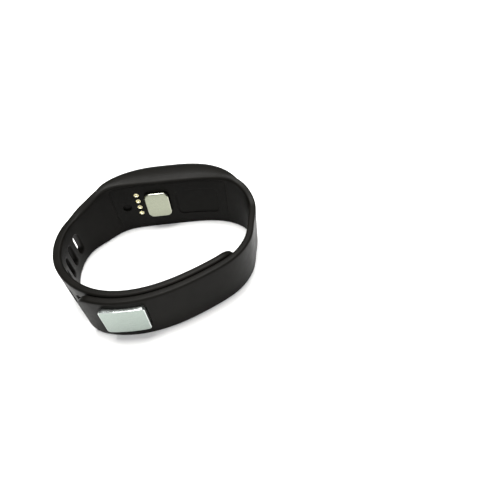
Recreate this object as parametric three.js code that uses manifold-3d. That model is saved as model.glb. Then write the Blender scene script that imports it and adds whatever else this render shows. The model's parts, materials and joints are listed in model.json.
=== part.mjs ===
// Fitness tracker band, closed and clasped, standing on its lower edge.
// Millimetres, +Z up. The wrist runs along Z, the display faces +Y and the clasp faces -Y.
import * as THREE from 'three';
import { mergeVertices } from 'three/addons/utils/BufferGeometryUtils.js';
import Module from 'manifold-3d';

const wasm = await Module();
wasm.setup();

// ---- Driving dimensions ----

// The wrist line is the inner surface of the closed band seen from above, a closed cubic
// B-spline. Places along it are distances s from its start, growing anticlockwise.
const wristLineKnots = [
  [-3.4, 18.2], [-17.4, 18.5], [-23, 11.3], [-29.7, 7.1], [-29.6, -11.4], [-16.5, -24.6],
  [0, -24.5], [14.9, -16.6], [22.3, -11.8], [26.4, -0.6], [31, 9.3], [19.9, 19.9],
];
const centreShift = [0.45, 0.17];       // puts the origin under the middle of the finished band

const capsuleHeight = 20.4;
const strapHeight = 15.6;
const taperFrontY = 6.5;                 // the height grows from strap to capsule between these
const taperBackY = 18.5;
const strapThickness = 2.2;
const rootThickening = 0.4;              // what the hole strap gains beside the capsule
const rootRise = { s: 14, length: 16 };
const rootFall = { s: 36, length: 22 };
const gap = 0.3;                         // between pieces that touch

const capsuleMiddle = -3.8;              // s of the thickest place
const capsuleHalfLength = 23.4;
const capsuleSwell = 8.85;               // what the capsule adds to the strap's thickness
const capsuleShape = { flatness: 3.2, fade: 1.6 };
const sleeveWall = 1.6;
const shellWall = 1;
const coverThickness = 1.2;
const sleeveEnds = [-27.5, 23.9];
const coverEnds = [-23.2, 16.4];         // ends of the hard cover inside the sleeve
const shellEnds = [-22.3, 15.5];
const gasketOffsets = [1.4, 1.9];
const gasketInset = 0.2;                 // from the shell's outside
const gasketWidth = 0.6;
const shellStart = 2.1;                  // offset at which the front shell begins

const lensEnds = [-16.6, 8.4];
const lensHeights = [4.2, 16.2];
const lensThickness = 1.3;
const lensOpeningOffsets = [5, 16];      // cuts the sleeve and the shell, and nothing deeper

const padS = 1.4;
const padZ = 10.5;
const padSize = [8.4, 10];
const padRadius = 2;
const padProud = 1.4;
const padSeat = 0.2;
const pinBoreRadius = 1;
const contactS = 8.2;
const contactMiddleZ = 10.8;
const contactPitch = 2.6;
const contactCount = 4;
const contactRadius = 0.8;
const locatingHoleS = 12.4;
const locatingHoleRadius = 1.5;
const locatingHoleZ = 10.1;
const locatingHoleDepth = 1.5;
const boss = { radius: 2.1, top: 2.3 };  // round the locating hole
const magnet = { radius: 1.25, offsets: [2.5, 3] };
const labelPanel = { s: -12.6, along: 15, tall: 10.4, radius: 2, depth: 0.35, z: 9.8 };

const strapMiddleZ = strapHeight / 2;
const firstSlotS = 33.5;
const slotPitch = 5.35;
const slotCount = 12;
const slotSize = [2.7, 7.8];
const tailHingeS = 78.8;
const tailTipS = 106.4;
const tailTipRadius = 4.5;
const lapOffset = strapThickness + gap;  // how far the clasp strap stands off where it overlaps
const lapStartS = -36.7;
const lapLength = 15.6;
const tabHingeS = 89.4;
const claspEndS = 62.5;
const claspEndRadius = 3.2;
const claspS = firstSlotS + 7.5 * slotPitch;

const plateSize = [12.2, 9.4];
const plateShift = -0.5;                 // along the band from the middle of the pegs
const plateZ = 8.8;
const plateThickness = 2.1;
const plateProud = 1.3;
const plateRadius = 0.9;
const recessDepth = 1.1;
const pegShank = [1.4, 6.6];
const pegHead = [1.9, 7];
const pegHeadThickness = 0.8;

// ---- Materials ----

function material(colour, roughness, metalness) {
  return new THREE.MeshStandardMaterial({ color: new THREE.Color(...colour), roughness, metalness });
}

const look = {
  silicone: () => material([0.035, 0.032, 0.03], 0.55, 0),
  hardBlack: () => material([0.03, 0.03, 0.03], 0.4, 0),
  lens: () => material([0.012, 0.012, 0.014], 0.08, 0),
  screen: () => material([0.02, 0.022, 0.03], 0.2, 0),
  steel: () => material([0.78, 0.8, 0.7], 0.3, 1),
  claspSteel: () => material([0.72, 0.77, 0.74], 0.32, 1),
  gold: () => material([0.83, 0.69, 0.35], 0.25, 1),
  board: () => material([0.02, 0.13, 0.07], 0.5, 0),
  chip: () => material([0.04, 0.04, 0.045], 0.5, 0),
  battery: () => material([0.6, 0.61, 0.62], 0.4, 0.6),
  foam: () => material([0.1, 0.1, 0.1], 0.9, 0),
  gasket: () => material([0.25, 0.25, 0.26], 0.7, 0),
  flex: () => material([0.55, 0.28, 0.05], 0.4, 0),
  magnet: () => material([0.5, 0.5, 0.52], 0.3, 1),
  redLead: () => material([0.5, 0.03, 0.03], 0.5, 0),
  blackLead: () => material([0.03, 0.03, 0.03], 0.5, 0),
};

// ---- The wrist line ----

function splinePoint(turn) {
  const count = wristLineKnots.length;
  const first = Math.floor(turn);
  const u = turn - first;
  const weights = [
    (1 - u) ** 3,
    3 * u ** 3 - 6 * u ** 2 + 4,
    -3 * u ** 3 + 3 * u ** 2 + 3 * u + 1,
    u ** 3,
  ];
  const point = new THREE.Vector2();
  weights.forEach((weight, i) => {
    const knot = wristLineKnots[(first + i - 1 + count) % count];
    point.x += (weight / 6) * knot[0];
    point.y += (weight / 6) * knot[1];
  });
  return point;
}

const samplesPerKnot = 64;
const samples = [];
let lineLength = 0;
for (let i = 0; i <= wristLineKnots.length * samplesPerKnot; i++) {
  const point = splinePoint(i / samplesPerKnot);
  if (i > 0) lineLength += point.distanceTo(samples[i - 1].point);
  samples.push({ point, s: lineLength });
}

function linePoint(s) {
  const wrapped = ((s % lineLength) + lineLength) % lineLength;
  const next = samples.findIndex((sample) => sample.s >= wrapped) || 1;
  const a = samples[next - 1];
  const b = samples[next];
  return a.point.clone().lerp(b.point, (wrapped - a.s) / (b.s - a.s));
}

function lineFrame(s) {
  const along = linePoint(s + 0.2).sub(linePoint(s - 0.2)).normalize();
  const out = new THREE.Vector2(along.y, -along.x);
  return { origin: linePoint(s), along, out };
}

function offsetPoint(s, offset) {
  const frame = lineFrame(s);
  return frame.origin.addScaledVector(frame.out, offset);
}

function smoothStep(x) {
  const t = Math.min(Math.max(x, 0), 1);
  return t * t * (3 - 2 * t);
}

function bandThickness(s) {
  const u = Math.min(Math.abs((s - capsuleMiddle) / capsuleHalfLength), 1);
  const swell = capsuleSwell * (1 - u ** capsuleShape.flatness) ** capsuleShape.fade;
  const root = rootThickening * smoothStep((s - rootRise.s) / rootRise.length)
    * (1 - smoothStep((s - rootFall.s) / rootFall.length));
  return strapThickness + swell + root;
}

function claspStrapOffset(s) {
  return lapOffset * smoothStep((lapStartS - s) / lapLength);
}

function bandHeight(y) {
  const rise = smoothStep((y - taperFrontY) / (taperBackY - taperFrontY));
  return strapHeight + (capsuleHeight - strapHeight) * rise;
}

// ---- Solids ----

function toSolid(geometry) {
  geometry.deleteAttribute('normal');
  geometry.deleteAttribute('uv');
  const merged = mergeVertices(geometry, 1e-5);
  return new wasm.Manifold(new wasm.Mesh({
    numProp: 3,
    vertProperties: new Float32Array(merged.attributes.position.array),
    triVerts: new Uint32Array(merged.index.array),
  }));
}

function toGeometry(solid) {
  const mesh = solid.getMesh();
  const geometry = new THREE.BufferGeometry();
  geometry.setAttribute('position', new THREE.BufferAttribute(mesh.vertProperties, 3));
  geometry.setIndex(new THREE.BufferAttribute(mesh.triVerts, 1));
  geometry.computeVertexNormals();
  return geometry;
}

function extrude(shape, depth, curveSegments = 4) {
  return new THREE.ExtrudeGeometry(shape, { depth, bevelEnabled: false, curveSegments });
}

// A wall that follows the wrist line from one s to another, between two offsets.
function strip(from, to, inner, outer, low, high, step = 2.2) {
  const innerAt = typeof inner === 'function' ? inner : () => inner;
  const outerAt = typeof outer === 'function' ? outer : () => outer;
  const count = Math.ceil((to - from) / step);
  const innerEdge = [];
  const outerEdge = [];
  for (let i = 0; i <= count; i++) {
    const s = from + ((to - from) * i) / count;
    innerEdge.push(offsetPoint(s, innerAt(s)));
    outerEdge.unshift(offsetPoint(s, outerAt(s)));
  }
  const geometry = extrude(new THREE.Shape([...innerEdge, ...outerEdge]), high - low);
  geometry.translate(0, 0, low);
  return toSolid(geometry);
}

function roundedRectangle(width, height, radius) {
  const x = width / 2;
  const y = height / 2;
  const shape = new THREE.Shape();
  shape.moveTo(-x + radius, -y);
  shape.lineTo(x - radius, -y);
  shape.absarc(x - radius, -y + radius, radius, -Math.PI / 2, 0);
  shape.lineTo(x, y - radius);
  shape.absarc(x - radius, y - radius, radius, 0, Math.PI / 2);
  shape.lineTo(-x + radius, y);
  shape.absarc(-x + radius, y - radius, radius, Math.PI / 2, Math.PI);
  shape.lineTo(-x, -y + radius);
  shape.absarc(-x + radius, -y + radius, radius, Math.PI, 1.5 * Math.PI);
  return shape;
}

// Turns a geometry drawn with x along the band, y up and z outward, so that it sits on the
// wrist line at s, at height z, with its own z = 0 at the given offset.
function onBand(geometry, s, z, offset) {
  const frame = lineFrame(s);
  const place = frame.origin.clone().addScaledVector(frame.out, offset);
  const matrix = new THREE.Matrix4().makeBasis(
    new THREE.Vector3(frame.along.x, frame.along.y, 0),
    new THREE.Vector3(0, 0, 1),
    new THREE.Vector3(frame.out.x, frame.out.y, 0),
  );
  matrix.setPosition(place.x, place.y, z);
  return geometry.applyMatrix4(matrix);
}

function bandBlock(s, z, size, radius, offsets, shift = 0) {
  const geometry = extrude(roundedRectangle(size[0], size[1], radius), offsets[1] - offsets[0]);
  geometry.translate(shift, 0, 0);
  return toSolid(onBand(geometry, s, z, offsets[0]));
}

function bandDisc(s, z, radius, offsets) {
  const geometry = new THREE.CylinderGeometry(radius, radius, offsets[1] - offsets[0], 16);
  geometry.rotateX(Math.PI / 2);
  geometry.translate(0, 0, (offsets[1] - offsets[0]) / 2);
  return toSolid(onBand(geometry, s, z, offsets[0]));
}

// Everything under the band's sloping top edge, as one tall slice of the (y, z) plane.
function heightEnvelope() {
  const reach = 60;
  const shape = new THREE.Shape();
  shape.moveTo(-reach, 0);
  shape.lineTo(reach, 0);
  shape.lineTo(reach, capsuleHeight);
  const steps = 6;
  for (let i = steps; i >= 0; i--) {
    const y = taperFrontY + ((taperBackY - taperFrontY) * i) / steps;
    shape.lineTo(y, bandHeight(y));
  }
  shape.lineTo(-reach, strapHeight);
  const geometry = extrude(shape, 2 * reach);
  geometry.applyMatrix4(new THREE.Matrix4().makeBasis(
    new THREE.Vector3(0, 1, 0),
    new THREE.Vector3(0, 0, 1),
    new THREE.Vector3(1, 0, 0),
  ));
  geometry.translate(-reach, 0, 0);
  return toSolid(geometry);
}

const endMaskOffsets = [-40, 14];
const endMaskLength = 60;

// A plate seen from outside that rounds off a strap's end: the strap is kept where it covers.
function endMask(s, from, to, radius) {
  const width = to - from;
  const shift = (from + to) / 2 - s;
  return bandBlock(s, strapMiddleZ, [width, strapHeight], radius, endMaskOffsets, shift);
}

// ---- The band ----

const band = new THREE.Group();
band.position.set(centreShift[0], centreShift[1], 0);

function add(name, solid, surface, group = band) {
  const geometry = solid.isBufferGeometry ? solid : toGeometry(solid);
  const mesh = new THREE.Mesh(geometry, surface);
  mesh.name = name;
  group.add(mesh);
}

const envelope = heightEnvelope();

function lensOpening() {
  return strip(lensEnds[0] - gap, lensEnds[1] + gap, ...lensOpeningOffsets,
    lensHeights[0] - gap, lensHeights[1] + gap);
}

function bandSleeve() {
  const cavityEnds = [coverEnds[0] - gap, coverEnds[1] + gap];
  const cavity = strip(...cavityEnds, -1, (s) => bandThickness(s) - sleeveWall,
    sleeveWall, capsuleHeight - sleeveWall);
  return strip(...sleeveEnds, 0, bandThickness, 0, capsuleHeight)
    .intersect(envelope)
    .subtract(cavity)
    .subtract(lensOpening());
}

function slotCutter(index) {
  const nearClasp = Math.abs(firstSlotS + index * slotPitch - claspS) < slotPitch;
  const s = nearClasp ? claspS : firstSlotS + index * slotPitch;
  const shift = firstSlotS + index * slotPitch - s;
  return bandBlock(s, strapMiddleZ, slotSize, slotSize[0] / 2 - 0.05, [-1.5, 4], shift);
}

function holeStrapPiece(from, to) {
  let strap = strip(from, to, 0, bandThickness, 0, capsuleHeight).intersect(envelope);
  for (let index = 0; index < slotCount; index++) {
    const s = firstSlotS + index * slotPitch;
    if (s > from && s < to) strap = strap.subtract(slotCutter(index));
  }
  return strap;
}

function holeStrapTail() {
  const tip = endMask(tailTipS, tailHingeS - 10, tailTipS, tailTipRadius);
  return holeStrapPiece(tailHingeS + gap / 2, tailTipS + 1).intersect(tip);
}

function claspStrapPiece(from, to) {
  const outer = (s) => claspStrapOffset(s) + bandThickness(s);
  return strip(from, to, claspStrapOffset, outer, 0, capsuleHeight).intersect(envelope);
}

function claspStrapTab() {
  const outerFace = lapOffset + strapThickness;
  const recess = bandBlock(claspS, plateZ, plateSize.map((side) => side + 2 * gap),
    plateRadius + gap, [outerFace - recessDepth, outerFace + 3], plateShift);
  let tab = claspStrapPiece(claspEndS - lineLength, tabHingeS - gap / 2 - lineLength)
    .intersect(endMask(claspEndS, claspEndS, claspEndS + endMaskLength, claspEndRadius))
    .subtract(recess);
  for (const side of [-1, 1]) {
    tab = tab.subtract(bandBlock(claspS, strapMiddleZ, pegShank.map((size) => size + 2 * gap),
      pegShank[0] / 2, [1, 6], (side * slotPitch) / 2));
  }
  return tab;
}

function claspPlate() {
  const top = lapOffset + strapThickness + plateProud;
  const offsets = [top - plateThickness, top];
  return bandBlock(claspS, plateZ, plateSize, plateRadius, offsets, plateShift);
}

function claspPeg(side) {
  const shift = (side * slotPitch) / 2;
  const plateBack = lapOffset + strapThickness + plateProud - plateThickness;
  const headTop = -gap;
  const head = bandBlock(claspS, strapMiddleZ, pegHead, pegHead[0] / 2 - 0.05,
    [headTop - pegHeadThickness, headTop], shift);
  const shank = bandBlock(claspS, strapMiddleZ, pegShank, pegShank[0] / 2 - 0.05,
    [headTop - 0.1, plateBack - gap], shift);
  return head.add(shank);
}

add('band_sleeve', bandSleeve(), look.silicone());
add('hole_strap', holeStrapPiece(sleeveEnds[1] + gap, tailHingeS - gap / 2), look.silicone());
add('hole_strap_tail', holeStrapTail(), look.silicone());
add('clasp_strap', claspStrapPiece(tabHingeS + gap / 2 - lineLength, sleeveEnds[0] - gap),
  look.silicone());
add('clasp_strap_tab', claspStrapTab(), look.silicone());
add('clasp_plate', claspPlate(), look.claspSteel());
add('clasp_peg_1', claspPeg(-1), look.claspSteel());
add('clasp_peg_2', claspPeg(1), look.claspSteel());

// ---- The housing on the wrist side and inside the sleeve ----

function contactHeight(index) {
  return contactMiddleZ + (index - (contactCount - 1) / 2) * contactPitch;
}

const throughCover = [-2, 3];

function backCover() {
  const edge = sleeveWall + gap;
  const cover = strip(...coverEnds, 0, coverThickness, edge, capsuleHeight - edge)
    .add(bandDisc(locatingHoleS, locatingHoleZ, boss.radius, [coverThickness / 2, boss.top]));
  const pocketSize = padSize.map((side) => side + 2 * gap);
  const cuts = [
    bandBlock(padS, padZ, pocketSize, padRadius + gap, [-2, padSeat + gap]),
    bandDisc(padS, padZ, pinBoreRadius, throughCover),
    bandDisc(locatingHoleS, locatingHoleZ, locatingHoleRadius, [-2, locatingHoleDepth]),
    strip(labelPanel.s - labelPanel.along / 2, labelPanel.s + labelPanel.along / 2, -1,
      labelPanel.depth, labelPanel.z - labelPanel.tall / 2, labelPanel.z + labelPanel.tall / 2),
  ];
  for (let index = 0; index < contactCount; index++) {
    cuts.push(bandDisc(contactS, contactHeight(index), contactRadius + 0.2, throughCover));
  }
  return cuts.reduce((solid, cut) => solid.subtract(cut), cover);
}

function frontShell() {
  const edge = sleeveWall + gap;
  const inset = edge + shellWall;
  const outer = strip(...shellEnds, shellStart,
    (s) => bandThickness(s) - sleeveWall - gap, edge, capsuleHeight - edge);
  const inner = strip(shellEnds[0] + shellWall, shellEnds[1] - shellWall, shellStart - 1,
    (s) => bandThickness(s) - sleeveWall - gap - shellWall, inset, capsuleHeight - inset);
  return outer.subtract(inner).subtract(lensOpening());
}

function coverGasket() {
  const frame = (inset, offsets) => {
    const edge = sleeveWall + gap + inset;
    return strip(shellEnds[0] + inset, shellEnds[1] - inset, ...offsets, edge, capsuleHeight - edge);
  };
  return frame(gasketInset, gasketOffsets).subtract(frame(gasketInset + gasketWidth, [1, 3]));
}

function displayLens() {
  return strip(...lensEnds, (s) => bandThickness(s) - lensThickness, bandThickness,
    ...lensHeights);
}

function latheOnBand(profile, s, z) {
  const points = profile.map(([radius, offset]) => new THREE.Vector2(radius, offset));
  const geometry = new THREE.LatheGeometry(points, 14);
  geometry.rotateX(Math.PI / 2);
  return toSolid(onBand(geometry, s, z, 0));
}

const contactProfile = [
  [0, -0.25], [0.5, -0.25], [0.55, -0.1], [contactRadius, -0.1], [contactRadius, 0.3],
  [0.4, 0.35], [0.4, 2.2], [0, 2.2],
];
const springPinProfile = [
  [0, 0.5], [0.45, 0.5], [0.45, 1.2], [0.7, 1.25], [0.7, 2.3], [0, 2.3],
];

add('back_cover', backCover(), look.hardBlack());
add('front_shell', frontShell(), look.hardBlack());
add('cover_gasket', coverGasket(), look.gasket());
add('display_lens', displayLens(), look.lens());
add('electrode_pad', bandBlock(padS, padZ, padSize, padRadius, [-padProud, padSeat]),
  look.steel());
add('electrode_spring_pin', latheOnBand(springPinProfile, padS, padZ), look.gold());
for (let index = 0; index < contactCount; index++) {
  add(`charge_contact_${index + 1}`, latheOnBand(contactProfile, contactS, contactHeight(index)),
    look.gold());
}
add('locating_magnet', bandDisc(locatingHoleS, locatingHoleZ, magnet.radius, magnet.offsets),
  look.magnet());

// ---- The electronics, in a frame with x to the right and y outward from the wrist ----

const electronicsS = -4.3;
const inside = new THREE.Group();
const capsuleFrame = lineFrame(electronicsS);
inside.position.set(capsuleFrame.origin.x, capsuleFrame.origin.y, 0);
inside.rotation.z = Math.atan2(capsuleFrame.out.y, capsuleFrame.out.x) - Math.PI / 2;
band.add(inside);

function box(x, y, z) {
  const geometry = new THREE.BoxGeometry(x[1] - x[0], y[1] - y[0], z[1] - z[0]);
  geometry.translate((x[0] + x[1]) / 2, (y[0] + y[1]) / 2, (z[0] + z[1]) / 2);
  return geometry;
}

const boardLayer = [2.8, 3.5];
const chipLayer = [1.5, 2.5];            // on the wrist side of the board
const batteryLayer = [4.5, 7];
const screenLayer = [7.35, 8];
const boardHeights = [3.6, 16.4];

add('circuit_board', box([-14.5, 10.8], boardLayer, boardHeights), look.board(), inside);
const chips = [
  ['processor', [-2.5, 3.5], [7, 13]],
  ['memory_chip', [4.8, 8.3], [9.5, 13.5]],
  ['motion_sensor', [5, 7.5], [5, 7.5]],
  ['charge_chip', [-9.6, -7.4], [12, 14.4]],
  ['clock_crystal', [-1.5, 1.5], [14.2, 15.6]],
  ['radio_antenna', [9, 10.6], [4.5, 12]],
];
for (const [name, x, z] of chips) {
  add(name, box(x, chipLayer, z), look.chip(), inside);
}

add('battery_pad', box([-8, 6.5], [3.8, 4.2], [5, 15]), look.foam(), inside);
add('battery', box([-9.5, 8], batteryLayer, [3.9, 16.1]), look.battery(), inside);
add('battery_board', box([-11.3, -9.8], [4.8, 6.6], [5, 15]), look.board(), inside);

function batteryLead(z) {
  const route = new THREE.CatmullRomCurve3([
    new THREE.Vector3(-11.65, 5.6, z),
    new THREE.Vector3(-12.9, 5.4, z),
    new THREE.Vector3(-13.4, 4.6, z),
    new THREE.Vector3(-13.4, 3.85, z),
  ]);
  const section = new THREE.Shape();
  section.absarc(0, 0, 0.35, 0, 2 * Math.PI);
  const options = { steps: 6, bevelEnabled: false, extrudePath: route, curveSegments: 6 };
  return toGeometry(toSolid(new THREE.ExtrudeGeometry(section, options)));
}

add('battery_lead_red', batteryLead(12), look.redLead(), inside);
add('battery_lead_black', batteryLead(8), look.blackLead(), inside);

const screenX = [-11.3, 8.2];
const screenZ = [5.3, 14.7];
const frameBar = 0.5;

function displayFrame() {
  const grow = (range, by) => [range[0] - by, range[1] + by];
  const outer = toSolid(box(grow(screenX, gap + frameBar), screenLayer,
    grow(screenZ, gap + frameBar)));
  const inner = toSolid(box(grow(screenX, gap), [6, 9], grow(screenZ, gap)));
  return outer.subtract(inner);
}

function displayFlex() {
  const outline = [
    [8.5, 7.1], [10.6, 7.1], [10.6, 3.8], [9, 3.8], [9, 4.05], [10.35, 4.05],
    [10.35, 6.85], [8.5, 6.85],
  ];
  const shape = new THREE.Shape(outline.map(([x, y]) => new THREE.Vector2(x, y)));
  const geometry = extrude(shape, 6);
  geometry.translate(0, 0, 7);
  return geometry;
}

add('oled_panel', box(screenX, screenLayer, screenZ), look.screen(), inside);
add('display_frame', displayFrame(), look.hardBlack(), inside);
add('display_flex', displayFlex(), look.flex(), inside);

// ---- The vibration motor: a can, its shaft and the off-centre weight that shakes the band ----

const motor = new THREE.Group();
const motorPlace = offsetPoint(-17, 3.9);
motor.position.set(motorPlace.x, motorPlace.y, 0);
band.add(motor);

function upright(profile, segments = 16) {
  const points = profile.map(([radius, z]) => new THREE.Vector2(radius, z));
  return new THREE.LatheGeometry(points, segments).rotateX(Math.PI / 2);
}

const shaftBore = 0.5;
const motorWeightShape = { radius: 1.5, tall: 3.8, foot: 11.4 };

function motorWeight() {
  const half = new THREE.Shape();
  half.absarc(0, 0, motorWeightShape.radius, Math.PI / 2, 1.5 * Math.PI);
  const geometry = extrude(half, motorWeightShape.tall, 12);
  geometry.translate(0, 0, motorWeightShape.foot);
  const bore = upright([[0, 11], [shaftBore, 11], [shaftBore, 16], [0, 16]]);
  return toSolid(geometry).subtract(toSolid(bore));
}

const motorCan = [[0, 4], [1.7, 4], [1.7, 11], [shaftBore, 11], [shaftBore, 8.8], [0, 8.8]];
add('motor_can', upright(motorCan), look.steel(), motor);
add('motor_shaft', upright([[0, 9], [0.4, 9], [0.4, 15.4], [0, 15.4]]), look.steel(), motor);
add('motor_weight', motorWeight(), look.steel(), motor);

export default band;
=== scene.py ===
import json
import math

import bmesh
import bpy
import numpy as np
from mathutils import Matrix, Vector


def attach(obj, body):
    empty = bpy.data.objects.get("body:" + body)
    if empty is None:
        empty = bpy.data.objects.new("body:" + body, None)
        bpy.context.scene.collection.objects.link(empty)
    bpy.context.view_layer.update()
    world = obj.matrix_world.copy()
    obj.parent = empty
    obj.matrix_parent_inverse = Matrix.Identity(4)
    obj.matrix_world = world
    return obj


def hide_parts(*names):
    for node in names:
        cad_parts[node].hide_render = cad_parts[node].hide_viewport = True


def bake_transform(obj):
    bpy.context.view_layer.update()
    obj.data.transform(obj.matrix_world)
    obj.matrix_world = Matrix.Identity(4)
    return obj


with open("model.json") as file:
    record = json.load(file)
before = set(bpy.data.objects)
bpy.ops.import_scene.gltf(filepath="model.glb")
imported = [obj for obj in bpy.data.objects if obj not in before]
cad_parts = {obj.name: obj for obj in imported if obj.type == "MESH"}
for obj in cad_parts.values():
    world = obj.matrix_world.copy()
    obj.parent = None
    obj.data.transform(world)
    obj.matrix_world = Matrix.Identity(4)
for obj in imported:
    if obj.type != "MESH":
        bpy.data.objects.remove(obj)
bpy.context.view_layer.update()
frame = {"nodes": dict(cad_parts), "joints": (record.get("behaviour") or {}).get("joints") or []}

# The fitness tracker band's looks. Everything is in metres, in the CAD frame: the wrist runs
# along Z, the display faces +Y and the clasp faces -Y.

MM = 0.001

# ---- The band's shape, as the CAD has it ----

# The wrist line is the band's inner surface seen from above, a closed cubic B-spline. A place
# on the band is (s, offset, z): s along that line, offset outward from it, z up.
WRIST_LINE_KNOTS = MM * np.array([
    (-3.4, 18.2), (-17.4, 18.5), (-23, 11.3), (-29.7, 7.1), (-29.6, -11.4), (-16.5, -24.6),
    (0, -24.5), (14.9, -16.6), (22.3, -11.8), (26.4, -0.6), (31, 9.3), (19.9, 19.9),
])
CENTRE_SHIFT = MM * np.array([0.45, 0.17])

CAPSULE_HEIGHT = 20.4 * MM
STRAP_HEIGHT = 15.6 * MM
TAPER_Y = (6.5 * MM, 18.5 * MM)         # the height grows from strap to capsule between these
STRAP_THICKNESS = 2.2 * MM
ROOT_THICKENING = 0.4 * MM              # what the hole strap gains beside the capsule
ROOT_RISE = (14 * MM, 16 * MM)          # s where it starts, and how long it takes
ROOT_FALL = (36 * MM, 22 * MM)
CAPSULE_MIDDLE = -3.8 * MM
CAPSULE_HALF_LENGTH = 23.4 * MM
CAPSULE_SWELL = 8.85 * MM
CAPSULE_SHAPE = (3.2, 1.6)              # how flat its top is, and how gently it fades
SLEEVE_WALL = 1.6 * MM
SLEEVE_ENDS = (-27.65 * MM, 24.05 * MM)
# An opening is its lower left and upper right corner, each (s, z).
OPENING = ((-23.35 * MM, 1.75 * MM), (16.55 * MM, 18.65 * MM))
OPENING_RADIUS = 1.2 * MM
WINDOW = ((-16.8 * MM, 4.05 * MM), (8.6 * MM, 16.35 * MM))
WINDOW_RADIUS = 2 * MM

SLOT_SIZE = (2.7 * MM, 7.8 * MM)
SLOT_PITCH = 5.35 * MM
SLOT_COUNT = 12
FIRST_SLOT_S = 33.5 * MM
SLOT_Z = STRAP_HEIGHT / 2
TAIL_TIP = (106.4 * MM, 4.5 * MM)       # s of the tip, and the radius of its corners
CLASP_S = FIRST_SLOT_S + 7.5 * SLOT_PITCH
CLASP_END = (62.5 * MM, 3.2 * MM)
LAP_OFFSET = 2.5 * MM                   # how far the clasp strap stands off where it overlaps
LAP_START_S = -36.7 * MM
LAP_LENGTH = 15.6 * MM
PLATE_SIZE = (12.2 * MM, 9.4 * MM)
PLATE_SHIFT = -0.5 * MM                 # along the band from the middle of the pegs
PLATE_Z = 8.8 * MM
PLATE_RADIUS = 0.9 * MM
PLATE_THICKNESS = 2.25 * MM
PLATE_PROUD = 1.3 * MM
PLATE_TOP = LAP_OFFSET + STRAP_THICKNESS + PLATE_PROUD
PLATE_BACK = PLATE_TOP - PLATE_THICKNESS
PLATE_CROWN = 1 / (42 * MM)             # its curvature along the band
RECESS_DEPTH = 1.1 * MM
PEG_SIZE = (1.9 * MM, 7 * MM)           # of its head

PAD_S = 1.4 * MM
PAD_Z = 10.5 * MM
PAD_SIZE = (8.4 * MM, 10 * MM)
PAD_RADIUS = 2 * MM
PAD_PROUD = 1.4 * MM
PAD_SEAT = 0.5 * MM                     # the depth of its pocket in the cover
PIN_BORE = (2 * MM, 2 * MM)             # for the spring pin behind it
PIN_BORE_RADIUS = 0.95 * MM
FACE_COSINE = 0.98                      # a metal face turned further than this is its rim
CONTACT_S = 8.2 * MM
CONTACT_MIDDLE_Z = 10.8 * MM
CONTACT_PITCH = 2.6 * MM
CONTACT_COUNT = 4
CONTACT_BORE = (2 * MM, 2 * MM)
CONTACT_SIZE = (1.6 * MM, 1.6 * MM)
CONTACT_ROWS = 4                        # mesh rows of the cover to each contact
HOLE_PLACE = (12.4 * MM, 10.1 * MM)
HOLE_SIZE = (3 * MM, 3 * MM)
HOLE_FLOOR = 0.25 * MM
COVER_THICKNESS = 1.2 * MM
PANEL = ((-20.1 * MM, 4.6 * MM), (-5.1 * MM, 15 * MM))
PANEL_RADIUS = 2 * MM
PANEL_DEPTH = 0.35 * MM

FINE_GAP = 0.12 * MM                    # between pieces that are pressed together
RECESS_GAP = 0.07 * MM                  # round the clasp plate
STRAP_EDGE = 0.65 * MM                  # rounding of the straps' edges
EDGE_STEPS = 8                          # in each quarter of a rounded edge
TIP_STEPS = 9                           # in each rounded corner of a strap's tip
# The capsule's edges are quarter ellipses, each so deep and so high.
CAPSULE_INNER_TOP_EDGE = (6 * MM, 1.6 * MM)
CAPSULE_INNER_LOW_EDGE = (0.5 * MM, 0.5 * MM)
CAPSULE_OUTER_EDGE = (4.7 * MM, 2.4 * MM)


def spline(turn, slope=False):
    """The wrist line's points, or its tangents, at turns counted in knots."""
    first = np.floor(turn).astype(int)
    u = turn - first
    if slope:
        weights = [-(1 - u) ** 2 / 2, (3 * u * u - 4 * u) / 2, (-3 * u * u + 2 * u + 1) / 2, u * u / 2]
    else:
        weights = [(1 - u) ** 3 / 6, (3 * u ** 3 - 6 * u * u + 4) / 6,
                   (-3 * u ** 3 + 3 * u * u + 3 * u + 1) / 6, u ** 3 / 6]
    knots = WRIST_LINE_KNOTS
    return sum(w[..., None] * knots[(first + i - 1) % len(knots)] for i, w in enumerate(weights))


LINE_TURNS = np.linspace(0, len(WRIST_LINE_KNOTS), 64 * len(WRIST_LINE_KNOTS) + 1)
LINE_STEPS = np.linalg.norm(np.diff(spline(LINE_TURNS), axis=0), axis=1)
LINE_S = np.concatenate([[0], np.cumsum(LINE_STEPS)])
LINE_LENGTH = LINE_S[-1]


def smooth_step(x):
    """A smooth rise from 0 to 1 as x goes from 0 to 1."""
    t = np.clip(x, 0, 1)
    return t * t * (3 - 2 * t)


def band_height(y):
    """The band's height at a place this far toward the display."""
    rise = smooth_step((y - TAPER_Y[0]) / (TAPER_Y[1] - TAPER_Y[0]))
    return STRAP_HEIGHT + (CAPSULE_HEIGHT - STRAP_HEIGHT) * rise


def plan_frame(s):
    """Points, directions along and directions outward, seen from above."""
    turn = np.interp(np.asarray(s) % LINE_LENGTH, LINE_S, LINE_TURNS)
    along = spline(turn, slope=True)
    along = along / np.linalg.norm(along, axis=-1, keepdims=True)
    out = np.stack([along[..., 1], -along[..., 0]], axis=-1)
    return spline(turn), along, out


def on_band(s, offset, z):
    """Places on the band in the CAD frame. z is measured as if at the wrist line."""
    s, offset, z = np.broadcast_arrays(s, offset, z)
    origin, _, out = plan_frame(s)
    plan = origin + out * offset[..., None]
    rise = band_height(plan[..., 1]) / band_height(origin[..., 1])
    return np.concatenate([plan + CENTRE_SHIFT, (z * rise)[..., None]], axis=-1)


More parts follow.
